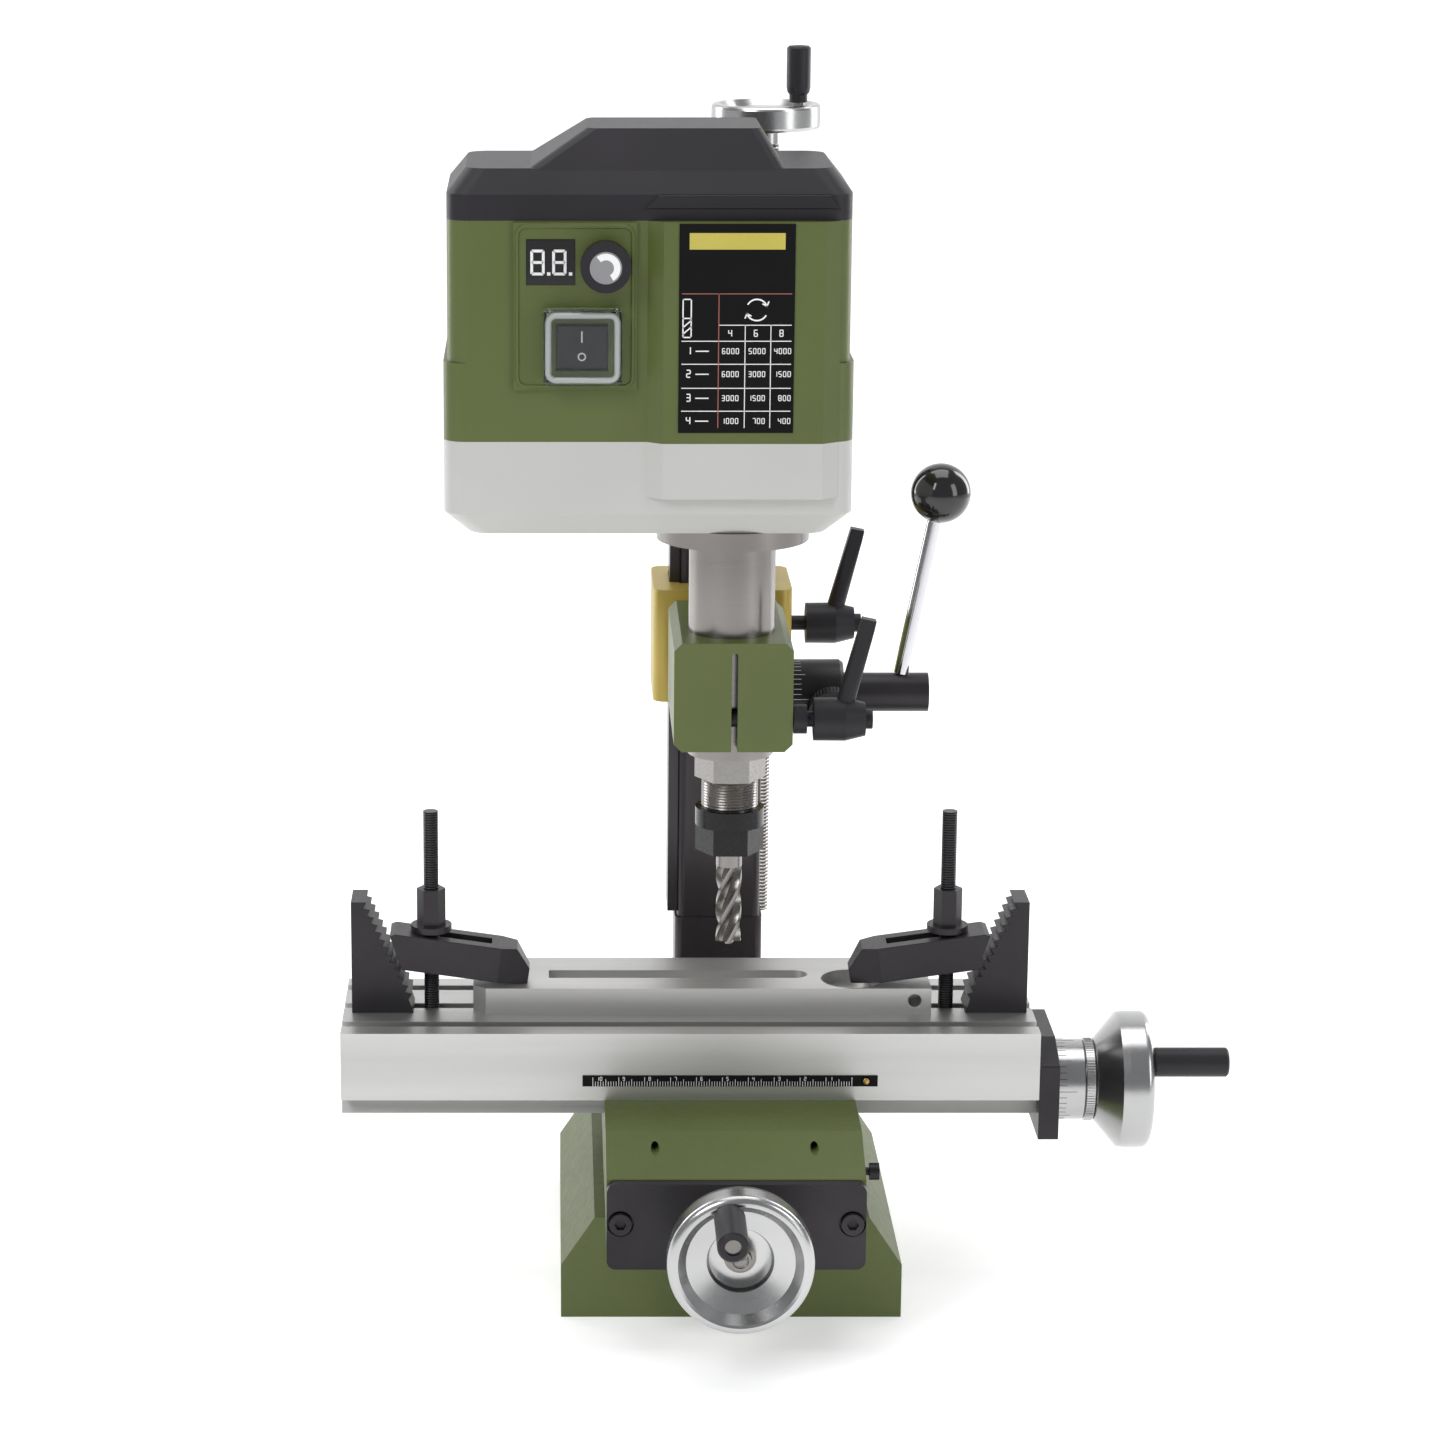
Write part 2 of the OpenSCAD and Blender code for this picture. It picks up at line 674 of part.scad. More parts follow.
module quill_tube() {
    color(STEEL) difference() {
        union() {
            rod([0, spindle_y, 209.5], quill_r, house_z[0] - 209.5);
            rod([0, spindle_y, 293.8], 29, house_z[0] - 293.8);
        }
        rod([0, spindle_y, 209], 11, 100);
        for (z = [208, house_z[0] - 12])
            rod([0, spindle_y, z], 13.5, 14);
        // rack cut into the tube's back
        box([-5, spindle_y + quill_r - 1.2, 221], [5, spindle_y + quill_r + 1, 262]);
    }
    color(STEEL) for (k = [-1:8])
        translate([0, spindle_y + quill_r, feed_z + (k + 0.5) * tooth]) along_x([-5, 5],
            [[-1.3, -0.95], [0, -0.55], [0.8, -0.3], [0.8, 0.3], [0, 0.55], [-1.3, 0.95]]);
}

module spindle_bearings() {
    color(STEEL) for (z = [210, house_z[0] - 11.8])
        ring([0, spindle_y, z], 13.45, 8 + eps, 9);
}

// Rounded block between two heights, its lower edge drawn in by b
module shell_block(z0, z1, b, inset) {
    x = house_x + [inset, -inset];
    y = [house_y0, house_y1] + [inset, -inset];
    r = 8 - inset;
    hull() {
        prism(x + [b, -b], y + [b, -b], [z0, z0 + 0.1], r);
        prism(x, y, [z0 + max(b, 0.2), z1], r);
    }
}

// Raised panel on the housing's front
module front_panel(z) {
    translate([0, 0, z[0]]) linear_extrude(z[1] - z[0])
        polygon([[-34, house_y0 + 0.2], [-28, panel_y], [31, panel_y], [37, house_y0 + 0.2]]);
}

module housing_bottom() {
    color("#bfbfbb") difference() {
        union() {
            shell_block(house_z[0], house_z[1], 9, 0);
            front_panel([316, house_z[1]]);
        }
        translate([0, 0, wall]) shell_block(house_z[0], house_z[1], 7, wall);
        rod([0, spindle_y, house_z[0] - 1], 12, 10);
    }
}

module housing_body() {
    x = house_x + [1.5, -1.5];
    y = [house_y0, house_y1];
    color(GREEN) difference() {
        union() {
            prism(house_x, y, [house_z[1], 366], 8);
            prism(x, y, [366, house_z[2]], 8);
            front_panel([house_z[1], house_z[2]]);
        }
        prism(x + [wall, -wall], y + [wall, -wall], [house_z[1] - 1, house_z[2] + 1], 5);
        box([-81, house_y0 - 1, 358.5], [-40, house_y0 + 4, 416]);
    }
}

module top_cover() {
    x = house_x + [1.5, -1.5];
    y = [house_y0, house_y1];
    color(BLACK) difference() {
        union() {
            hull() {
                prism(x, y, [house_z[2], 428], 8);
                prism(x + [7, -7], y + [7, -7], [436.7, 436.8], 8);
            }
            hull() {
                prism([-81, 18], [house_y0 + 5, 18], [434, 434.1], 4);
                prism([-56, 8], [-36, 6], [450.3, 450.4], 4);
            }
        }
        hull() {
            prism(x + [wall, -wall], y + [wall, -wall], [house_z[2] - 1, 427], 5);
            prism(x + [9, -9], y + [9, -9], [433.6, 433.7], 5);
        }
    }
}

module control_panel() {
    color(GREEN) difference() {
        union() {
            box([-83, house_y0 - 1.4, 356.3], [-37.7, house_y0, 418]);
            box([-80.8, house_y0 - 0.1, 358.7], [-40.2, house_y0 + 3.8, 415.8]);
        }
        rod([-49.2, house_y0 - 3, 402.5], 3.1, 8, "y");
        box([-78.3, house_y0 - 2, 395.1], [-60.3, house_y0 + 5, 412]);
        box([-67.5, house_y0 - 2, 363.5], [-48.2, house_y0 + 5, 381]);
    }
    color(BLACK) box([-78.2, house_y0 - 1, 395.2], [-60.4, house_y0 + 3, 411.9]);
}

module rating_plate() {
    color("#111111") box([-22.4, panel_y - 0.4, 341], [19.9, panel_y, 417.9]);
}

module circuit_board() {
    color("#2c5a3c") box([-100, house_y0 + 12, 345], [-42, house_y0 + 13.6, 412]);
    color(BLACK) for (x = [-92, -74, -56])
        rod([x, house_y0 + 13.6, 360], 6, 18, "y");
    color(BLACK) for (z = [348, 408])
        rod([-98, house_y0 + wall, z], 2, 12 - wall, "y");
}

module motor_stator() {
    color(STEEL) ring([0, spindle_y, house_z[0] + 12], 32, 19, 52);
    color(BLACK) ring([0, spindle_y, house_z[0] + wall], 20, 13.5, 9);
}

// Clear splash cover over the switch
module switch_boot() {
    color("#9aa0a0", 0.4) difference() {
        box([-72, house_y0 - 8, 359.2], [-43.1, house_y0 - 1.4, 386.6]);
        box([-70.5, house_y0 - 6.8, 360.7], [-44.6, house_y0 - 1, 385.1]);
    }
}

module spindle() {
    color(STEEL) {
        rod([0, spindle_y, 205], 8, 166);
        rod([0, spindle_y, house_z[0] + 14], 18.6, 48);
        difference() {
            union() {
                translate([0, spindle_y, 199.7]) cylinder(r = 13.7, h = 9, $fn = 6);
                rod([0, spindle_y, 180], 10.6, 20);
            }
            rod([0, spindle_y, 179], mill_d / 2 + 0.01, 20);
        }
    }
    color(BLACK) difference() {
        union() {
            rod([0, spindle_y, 180.9], 13.3, 7);
            translate([0, spindle_y, 170.5]) cylinder(r = 13.2, h = 10.5, $fn = 6);
        }
        rod([0, spindle_y, 176], 10.65, 13);
        rod([0, spindle_y, 170], mill_d / 2 + 0.01, 10);
    }
}

module end_mill() {
    r = mill_d / 2;
    color(STEEL) {
        rod([0, spindle_y, 164], r, 33);
        translate([0, spindle_y, 133.4]) linear_extrude(30.7, twist = -200, slices = 24)
            for (a = [0:90:359]) rotate(a) polygon([[0, -1.6], [r - 0.3, -1.2], [r, 0.6],
                [r * 0.5, 1.9], [0, 1.6]]);
    }
}

module speed_knob() {
    color(BLACK) {
        rod([-49.2, house_y0 - 10, 402.5], 9.2, 8.4, "y");
        rod([-49.2, house_y0 - 2, 402.5], 3, 9, "y");
    }
}

module rocker() {
    y = house_y0;
    color(BLACK) along_x([-67.3, -48.4], [[y - 2.2, 364.6], [y - 3.6, 380.6], [y + 2, 379],
        [y + 3.4, 372], [y + 2, 365.6]]);
}

base_casting();
y_nut();
y_nut_screw();
column();
column_bolts();
column_rail();
top_bearing();
saddle();
y_gib();
x_gib();
gib_screws();
y_end_plate();
y_plate_screws();
x_nut();
y_screw();
y_handwheel();
y_dial();
y_handle_pin();
y_handle();
table();
scale_strip();
x_end_plate();
x_plate_screws();
workpiece();
clamp_studs();
clamp_nuts();
clamp_arms();
step_blocks();
x_screw();
x_handwheel();
x_dial();
x_handle_pin();
x_handle();
z_screw_shaft();
z_handwheel();
z_handle_pin();
z_handle();
z_bracket();
z_nut();
bracket_lever();
clamp_block();
slit_lever();
feed_shaft();
feed_dial();
feed_rod();
feed_ball();
quill_tube();
spindle_bearings();
housing_bottom();
housing_body();
top_cover();
control_panel();
rating_plate();
circuit_board();
motor_stator();
switch_boot();
spindle();
end_mill();
speed_knob();
rocker();
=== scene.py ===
"""Looks of the benchtop milling machine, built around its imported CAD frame."""

import math

import bmesh
import bpy
from mathutils import Matrix, Vector


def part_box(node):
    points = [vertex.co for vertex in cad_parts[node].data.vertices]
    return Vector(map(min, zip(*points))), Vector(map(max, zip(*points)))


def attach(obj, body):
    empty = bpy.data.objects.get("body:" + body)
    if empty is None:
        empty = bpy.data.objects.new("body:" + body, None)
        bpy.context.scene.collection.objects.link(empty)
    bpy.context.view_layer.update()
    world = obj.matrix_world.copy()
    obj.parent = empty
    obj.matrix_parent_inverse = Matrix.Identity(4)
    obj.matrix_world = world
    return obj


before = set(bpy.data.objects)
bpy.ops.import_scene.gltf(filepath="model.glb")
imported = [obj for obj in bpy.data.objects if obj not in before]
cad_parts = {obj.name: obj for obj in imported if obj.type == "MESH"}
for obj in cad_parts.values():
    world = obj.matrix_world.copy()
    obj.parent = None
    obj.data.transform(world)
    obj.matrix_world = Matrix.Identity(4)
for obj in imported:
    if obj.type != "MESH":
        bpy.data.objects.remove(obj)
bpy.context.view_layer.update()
MM = 0.001


# ---------- materials ----------

def new_material(name):
    """An empty node material with its shader, ready to be wired."""
    mat = bpy.data.materials.new(name)
    mat.use_nodes = True
    return mat, mat.node_tree, mat.node_tree.nodes["Principled BSDF"]


def noise(tree, scale, detail=4.0, stretch=(1, 1, 1)):
    """Object-space noise, stretched along an axis where stretch is small."""
    coords = tree.nodes.new("ShaderNodeTexCoord")
    mapping = tree.nodes.new("ShaderNodeMapping")
    mapping.inputs["Scale"].default_value = stretch
    tex = tree.nodes.new("ShaderNodeTexNoise")
    tex.inputs["Scale"].default_value = scale
    tex.inputs["Detail"].default_value = detail
    tree.links.new(coords.outputs["Object"], mapping.inputs["Vector"])
    tree.links.new(mapping.outputs["Vector"], tex.inputs["Vector"])
    return tex.outputs["Fac"]


def ramp(tree, source, low, high, start=0.3, end=0.7):
    """Colours between low and high, picked by source."""
    node = tree.nodes.new("ShaderNodeValToRGB")
    node.color_ramp.elements[0].position = start
    node.color_ramp.elements[1].position = end
    node.color_ramp.elements[0].color = (*low, 1)
    node.color_ramp.elements[1].color = (*high, 1)
    tree.links.new(source, node.inputs["Fac"])
    return node.outputs["Color"]


def value_range(tree, source, low, high):
    """Source mapped from 0..1 to low..high."""
    node = tree.nodes.new("ShaderNodeMapRange")
    node.inputs["To Min"].default_value = low
    node.inputs["To Max"].default_value = high
    tree.links.new(source, node.inputs["Value"])
    return node.outputs["Result"]


def bump(tree, shader, source, strength, distance):
    """Fine relief from source."""
    node = tree.nodes.new("ShaderNodeBump")
    node.inputs["Strength"].default_value = strength
    node.inputs["Distance"].default_value = distance
    tree.links.new(source, node.inputs["Height"])
    tree.links.new(node.outputs["Normal"], shader.inputs["Normal"])


def surface(name, low, high, rough, metal=0.0, grain=400, stretch=(1, 1, 1), relief=0.1,
            depth=0.0001, blotch=18, coat=0.0, specular=0.5):
    """Material with blotches of colour, a roughness that varies, and a fine grain."""
    mat, tree, shader = new_material(name)
    shader.inputs["Metallic"].default_value = metal
    shader.inputs["Coat Weight"].default_value = coat
    shader.inputs["Specular IOR Level"].default_value = specular
    patches = noise(tree, blotch, 3.0, stretch)
    tree.links.new(ramp(tree, patches, low, high), shader.inputs["Base Color"])
    fine = noise(tree, grain, 5.0, stretch)
    tree.links.new(value_range(tree, fine, *rough), shader.inputs["Roughness"])
    bump(tree, shader, fine, relief, depth)
    return mat


def thread_shade_bands(name, low, high, pitch, rough, metal):
    """Bands round an upright bar, one for each turn of its thread, with painted shade darkening the
    grooves.
    """
    mat, tree, shader = new_material(name)
    shader.inputs["Metallic"].default_value = metal
    coords = tree.nodes.new("ShaderNodeTexCoord")
    wave = tree.nodes.new("ShaderNodeTexWave")
    wave.bands_direction = "Z"
    wave.inputs["Scale"].default_value = 2 * math.pi / (20 * pitch)
    tree.links.new(coords.outputs["Object"], wave.inputs["Vector"])
    # low colour is painted shade in the thread grooves, high colour the bar's own metal
    tree.links.new(ramp(tree, wave.outputs["Fac"], low, high, 0.15, 0.7), shader.inputs["Base Color"])
    tree.links.new(value_range(tree, noise(tree, 300), *rough), shader.inputs["Roughness"])
    bump(tree, shader, wave.outputs["Fac"], 0.9, 0.0004)
    return mat


def spindle_look(name):
    """Bright steel nose above the collet nut's top, and blackened steel below it."""
    mat, tree, shader = new_material(name)
    coords = tree.nodes.new("ShaderNodeTexCoord")
    split = tree.nodes.new("ShaderNodeSeparateXYZ")
    above = tree.nodes.new("ShaderNodeMath")
    above.operation = "GREATER_THAN"
    above.inputs[1].default_value = 0.18795
    tree.links.new(coords.outputs["Object"], split.inputs["Vector"])
    tree.links.new(split.outputs["Z"], above.inputs[0])
    tree.links.new(ramp(tree, above.outputs[0], (0.010, 0.010, 0.011), (0.28, 0.27, 0.26), 0.4, 0.6),
                   shader.inputs["Base Color"])
    tree.links.new(value_range(tree, above.outputs[0], 0.5, 1.0), shader.inputs["Metallic"])
    fine = noise(tree, 500)
    tree.links.new(value_range(tree, fine, 0.2, 0.34), shader.inputs["Roughness"])
    bump(tree, shader, fine, 0.08, 0.0001)
    return mat


def clear_plastic(name):
    """Thin clear plastic that shows what is behind it."""
    mat, tree, shader = new_material(name)
    shader.inputs["Transmission Weight"].default_value = 1.0
    shader.inputs["IOR"].default_value = 1.4
    shader.inputs["Base Color"].default_value = (0.93, 0.95, 0.95, 1)
    fine = noise(tree, 90)
    tree.links.new(value_range(tree, fine, 0.03, 0.1), shader.inputs["Roughness"])
    return mat


GREEN = (0.098, 0.126, 0.030)
GREEN_DARK = (0.086, 0.110, 0.025)
BLACK = (0.016, 0.015, 0.018)
BLACK_PALE = (0.024, 0.021, 0.026)
MATERIALS = {
    "paint": surface("olive_paint", GREEN_DARK, GREEN, (0.32, 0.46), relief=0.08, grain=900),
    "cast": surface("cast_olive_paint", GREEN_DARK, GREEN, (0.4, 0.62), relief=0.55, grain=260,
                    depth=0.0005),
    "grey": surface("grey_plastic", (0.50, 0.50, 0.48), (0.53, 0.53, 0.51), (0.38, 0.5), grain=1400),
    "black": surface("black_plastic", BLACK, BLACK_PALE, (0.36, 0.5), grain=1500, relief=0.15,
                     specular=0.28),
    "label": surface("label_black", (0.004, 0.004, 0.004), (0.006, 0.006, 0.006), (0.55, 0.65), grain=900,
                     relief=0.03, specular=0.12),
    "gloss": surface("gloss_black", (0.008, 0.008, 0.009), (0.012, 0.011, 0.012), (0.08, 0.16),
                     grain=60, relief=0.02, coat=0.4),
    "steel_black": surface("blackened_steel", (0.020, 0.018, 0.020), (0.040, 0.036, 0.040),
                           (0.28, 0.45), metal=0.35, grain=700, relief=0.12, specular=0.3),
    "column": surface("column_steel", (0.05, 0.045, 0.05), (0.075, 0.068, 0.072), (0.24, 0.36),
                      metal=0.85, grain=500, stretch=(1, 1, 0.05), relief=0.1),
    "steel": surface("ground_steel", (0.20, 0.19, 0.18), (0.30, 0.28, 0.27), (0.2, 0.3),
                     metal=1.0, grain=500, stretch=(0.1, 0.1, 1), relief=0.1),
    "alu": surface("turned_aluminium", (0.44, 0.44, 0.44), (0.54, 0.54, 0.54), (0.2, 0.3),
                   metal=1.0, grain=700, relief=0.06),
    "milled": surface("milled_aluminium", (0.50, 0.50, 0.49), (0.62, 0.61, 0.60), (0.34, 0.48),
                      metal=0.9, grain=500, stretch=(0.04, 1, 1), relief=0.14, blotch=40),
    "gold": surface("gold_paint", (0.40, 0.29, 0.05), (0.50, 0.38, 0.09), (0.34, 0.48), metal=0.35,
                    grain=600, relief=0.2),
    "bronze": surface("bronze", (0.45, 0.29, 0.10), (0.58, 0.40, 0.16), (0.28, 0.42), metal=1.0),
    "chrome": surface("chrome", (0.58, 0.58, 0.60), (0.66, 0.66, 0.68), (0.06, 0.12), metal=1.0,
                      grain=40, relief=0.01),
    "white": surface("white_print", (0.80, 0.80, 0.80), (0.92, 0.92, 0.92), (0.4, 0.5), grain=900),
    "red": surface("red_print", (0.30, 0.08, 0.07), (0.36, 0.11, 0.09), (0.4, 0.5), grain=900),
    "yellow": surface("yellow_print", (0.50, 0.43, 0.07), (0.56, 0.48, 0.10), (0.4, 0.5), grain=900),
    "board": surface("circuit_green", (0.01, 0.06, 0.025), (0.02, 0.09, 0.035), (0.3, 0.4)),
    "clear": clear_plastic("clear_cover"),
    # thread bands: their dark bands are painted shade in the grooves of the z screw and clamp studs
    "z_thread": thread_shade_bands("z_screw_thread", (0.10, 0.09, 0.09), (0.55, 0.52, 0.50), 0.0015,
                            (0.2, 0.3), 1.0),
    "stud_thread": thread_shade_bands("stud_thread", (0.010, 0.010, 0.011), (0.06, 0.055, 0.06), 0.001,
                               (0.3, 0.4), 0.6),
    "spindle_nose": spindle_look("spindle_nose"),
    # pale opaque rim colour is painted highlight along the splash cover's edges
    "rim": surface("rim_painted_highlight", (0.30, 0.32, 0.31), (0.42, 0.44, 0.43), (0.08, 0.16), grain=200,
                   relief=0.05, coat=0.5),
    "knob_disc": surface("knob_disc", (0.20, 0.20, 0.21), (0.30, 0.30, 0.31), (0.3, 0.4), grain=500),
}

LOOKS = {
    "paint": ["clamp_block", "housing_body", "control_panel"],
    "cast": ["base_casting", "saddle"],
    "grey": ["housing_bottom"],
    "black": ["top_cover", "y_handle", "x_handle", "z_handle", "bracket_lever", "slit_lever",
              "speed_knob", "rocker"],
    "gloss": ["feed_ball"],
    "label": ["rating_plate", "scale_strip"],
    "steel_black": ["column_bolts", "top_bearing", "gib_screws", "y_end_plate", "y_plate_screws",
                    "y_nut_screw", "x_end_plate", "x_plate_screws", "clamp_nuts", "clamp_arms",
                    "step_blocks", "feed_dial", "feed_shaft"],
    "column": ["column", "column_rail"],
    "steel": ["y_gib", "x_gib", "y_screw", "x_screw", "y_handle_pin",
              "x_handle_pin", "z_handle_pin", "quill_tube", "spindle_bearings", "motor_stator",
              "end_mill"],
    "z_thread": ["z_screw_shaft"],
    "stud_thread": ["clamp_studs"],
    "spindle_nose": ["spindle"],
    "alu": ["y_handwheel", "x_handwheel", "z_handwheel", "y_dial", "x_dial"],
    "milled": ["table", "workpiece"],
    "gold": ["z_bracket"],
    "bronze": ["y_nut", "x_nut", "z_nut"],
    "chrome": ["feed_rod"],
    "board": ["circuit_board"],
    "clear": ["switch_boot"],
}

# Nodes whose edges are eased, and by how many millimetres
EASED = {"housing_bottom": 1.6, "top_cover": 1.4, "clamp_block": 0.9,
         "base_casting": 1.4, "saddle": 0.8, "z_bracket": 1.2, "table": 0.3,
         "workpiece": 0.25, "y_end_plate": 0.4, "x_end_plate": 0.5, "clamp_arms": 0.3,
         "step_blocks": 0.2, "rocker": 0.7, "switch_boot": 1.0, "column": 0.4, "top_bearing": 0.5}


def dress(node, mat):
    """Give a CAD node its material, and ease its edges where it has an entry for that."""
    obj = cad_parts[node]
    obj.data.materials.clear()
    obj.data.materials.append(mat)
    if node in EASED:
        weld = obj.modifiers.new("joined_faces", "WELD")
        weld.merge_threshold = 0.01 * MM
        ease = obj.modifiers.new("eased_edges", "BEVEL")
        ease.width = EASED[node] * MM
        ease.segments = 3
        ease.limit_method = "ANGLE"
        ease.angle_limit = math.radians(28)
        ease.harden_normals = True


for look, nodes in LOOKS.items():
    for node in nodes:
        dress(node, MATERIALS[look])


# ---------- mesh helpers ----------

def piece(name, bm, look, body):
    """Turn a bmesh into an object that rides on a CAD body."""
    bmesh.ops.recalc_face_normals(bm, faces=bm.faces)
    mesh = bpy.data.meshes.new(name)
    bm.to_mesh(mesh)
    bm.free()
    obj = bpy.data.objects.new(name, mesh)
    bpy.context.scene.collection.objects.link(obj)
    mesh.materials.append(MATERIALS[look])
    mesh.polygons.foreach_set("use_smooth", [True] * len(mesh.polygons))
    mesh.set_sharp_from_angle(angle=math.radians(28))
    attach(obj, body)
    return obj


def lathe(bm, outline, place, turns=48):
    """Spin a closed outline of (radius, height) about the z axis of place."""
    rings = []
    for i in range(turns):
        turn = Matrix.Rotation(2 * math.pi * i / turns, 4, "Z")
        rings.append([bm.verts.new(place @ turn @ Vector((r, 0, h))) for r, h in outline])
    for i, ring in enumerate(rings):
        after = rings[(i + 1) % turns]
        for k in range(len(outline)):
            n = (k + 1) % len(outline)
            bm.faces.new((ring[k], after[k], after[n], ring[n]))


def slab(bm, low, high, turn=0.0, place=None):
    """Box from low to high, turned about its middle in the X-Z plane."""
    middle = (Vector(low) + Vector(high)) / 2
    size = Vector(high) - Vector(low)
    spot = Matrix.Translation(middle) @ Matrix.Rotation(turn, 4, "Y") @ Matrix.Diagonal((*size, 1))
    bmesh.ops.create_cube(bm, size=1, matrix=(place or Matrix()) @ spot)


def axis_place(origin, axis):
    """Matrix that stands the z axis along x, y or z at a point."""
    turns = {"x": Matrix.Rotation(math.pi / 2, 4, "Y"), "y": Matrix.Rotation(math.pi / 2, 4, "X"),
             "z": Matrix()}
    return Matrix.Translation(Vector(origin)) @ turns[axis]


def middle_of(node):
    low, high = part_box(node)
    return (Vector(low) + Vector(high)) / 2


def thread(bm, radius, start, end, pitch, height, place):
    """Ridges of a thread round a bar: a closed sleeve with a saw-tooth outside."""
    count = int((end - start) / pitch)
    outline = [(radius - 0.0003, start)]
    for i in range(count):
        outline.append((radius + 0.00002, start + i * pitch))
        outline.append((radius + height, start + (i + 0.5) * pitch))
    outline.append((radius + 0.00002, start + count * pitch))
    outline.append((radius - 0.0003, start + count * pitch))
    lathe(bm, outline, place, 40)


# ---------- threads and knurls ----------

def collet_thread():
    """Fine thread of the collet nose, between its hexagon and its nut."""
    low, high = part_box("spindle")
    centre = (low + high) / 2
    bm = bmesh.new()
    thread(bm, 0.0106, 0.1882, 0.1995, 0.0011, 0.0004, axis_place((centre.x, centre.y, 0), "z"))
    piece("collet_thread", bm, "steel", "spindle_unit")


def knurl(name, body, look, place, radius, start, end, count, height=0.25):
    """Straight knurl: small ridges along the axis of place, set round a rim."""
    bm = bmesh.new()
    for i in range(count):
        turn = Matrix.Rotation(2 * math.pi * i / count, 4, "Z")
        half = math.pi * radius / count * 0.55
        corners = [(radius - 0.15, -half), (radius + height, 0), (radius - 0.15, half)]
        ends = [[bm.verts.new(place @ turn @ Vector((x * MM, y * MM, h * MM)))
                 for x, y in corners] for h in (start, end)]
        bm.faces.new(ends[0])
        bm.faces.new(ends[1][::-1])
        for k in range(3):
            n = (k + 1) % 3
            bm.faces.new((ends[0][k], ends[0][n], ends[1][n], ends[1][k]))
    piece(name, bm, look, body)


# ---------- flat print ----------

DIGITS = {"0": "abcdef", "1": "bc", "2": "abged", "3": "abgcd", "4": "fgbc", "5": "afgcd",
          "6": "afgedc", "7": "abc", "8": "abcdefg", "9": "abcdfg"}
BARS = {"a": (0, 1, 1, 1), "g": (0, 0.5, 1, 0.5), "d": (0, 0, 1, 0), "f": (0, 0.5, 0, 1),
        "b": (1, 0.5, 1, 1), "e": (0, 0, 0, 0.5), "c": (1, 0, 1, 0.5)}


def bar(bm, a, b, width, y, depth=0.1):
    """Raised line from (x, z) to (x, z) on a front face at y, in millimetres."""
    a = Vector((a[0], y, a[1])) * MM
    b = Vector((b[0], y, b[1])) * MM
    along = b - a
    turn = -math.atan2(along.z, along.x)
    size = (along.length + width * MM, depth * MM, width * MM)
    spot = Matrix.Translation((a + b) / 2) @ Matrix.Rotation(turn, 4, "Y")
    bmesh.ops.create_cube(bm, size=1, matrix=spot @ Matrix.Diagonal((*size, 1)))


def digits(bm, text, x, z, height, y, width=None):
    """Number in seven-bar digits, its lower left corner at (x, z)."""
    width = width or height * 0.13
    wide = height * 0.5
    for sign in text:
        if sign == ".":
            bar(bm, (x - wide * 0.28, z), (x - wide * 0.27, z), width * 1.2, y)
            x += wide * 0.15
            continue
        for key in DIGITS[sign]:
            x0, z0, x1, z1 = BARS[key]
            trim_x = (x1 - x0) * width * 0.55
            trim_z = (z1 - z0) * 2 * width * 0.55
            bar(bm, (x + x0 * wide + trim_x, z + z0 * height + trim_z),
                (x + x1 * wide - trim_x, z + z1 * height - trim_z), width, y)
        x += wide * 1.75


def arc_line(bm, centre, radius, start, end, width, y, steps=24):
    """Curved flat line on a front face; angles in degrees from +X towards +Z."""
    rows = []
    for i in range(steps + 1):
        a = math.radians(start + (end - start) * i / steps)
        rows.append([bm.verts.new(((centre[0] + r * math.cos(a)) * MM, depth * MM,
                                   (centre[1] + r * math.sin(a)) * MM))
                     for r, depth in ((radius - width / 2, y - 0.05), (radius + width / 2, y - 0.05),
                                      (radius + width / 2, y + 0.05),
                                      (radius - width / 2, y + 0.05))])
    for row, after in zip(rows, rows[1:]):
        for k in range(4):
            n = (k + 1) % 4
            bm.faces.new((row[k], row[n], after[n], after[k]))
    bm.faces.new(rows[0])
    bm.faces.new(rows[-1][::-1])


def table_scale():
    """Millimetre scale on the strip of the table."""
    low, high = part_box("scale_strip")
    y = low.y / MM - 0.02
    base = low.z / MM + 0.35
    bm = bmesh.new()
    for i in range(101):
        x = -53.0 + i
        tall = 3.4 if i % 10 == 0 else 2.6 if i % 5 == 0 else 1.7
        bar(bm, (x, base), (x, base + tall), 0.2, y)
    for i in range(10):
        digits(bm, str(10 - i), -53.0 + i * 10 + 1.6, base + 2.2, 1.4, y, 0.2)
    piece("table_scale_print", bm, "white", "table_slide")


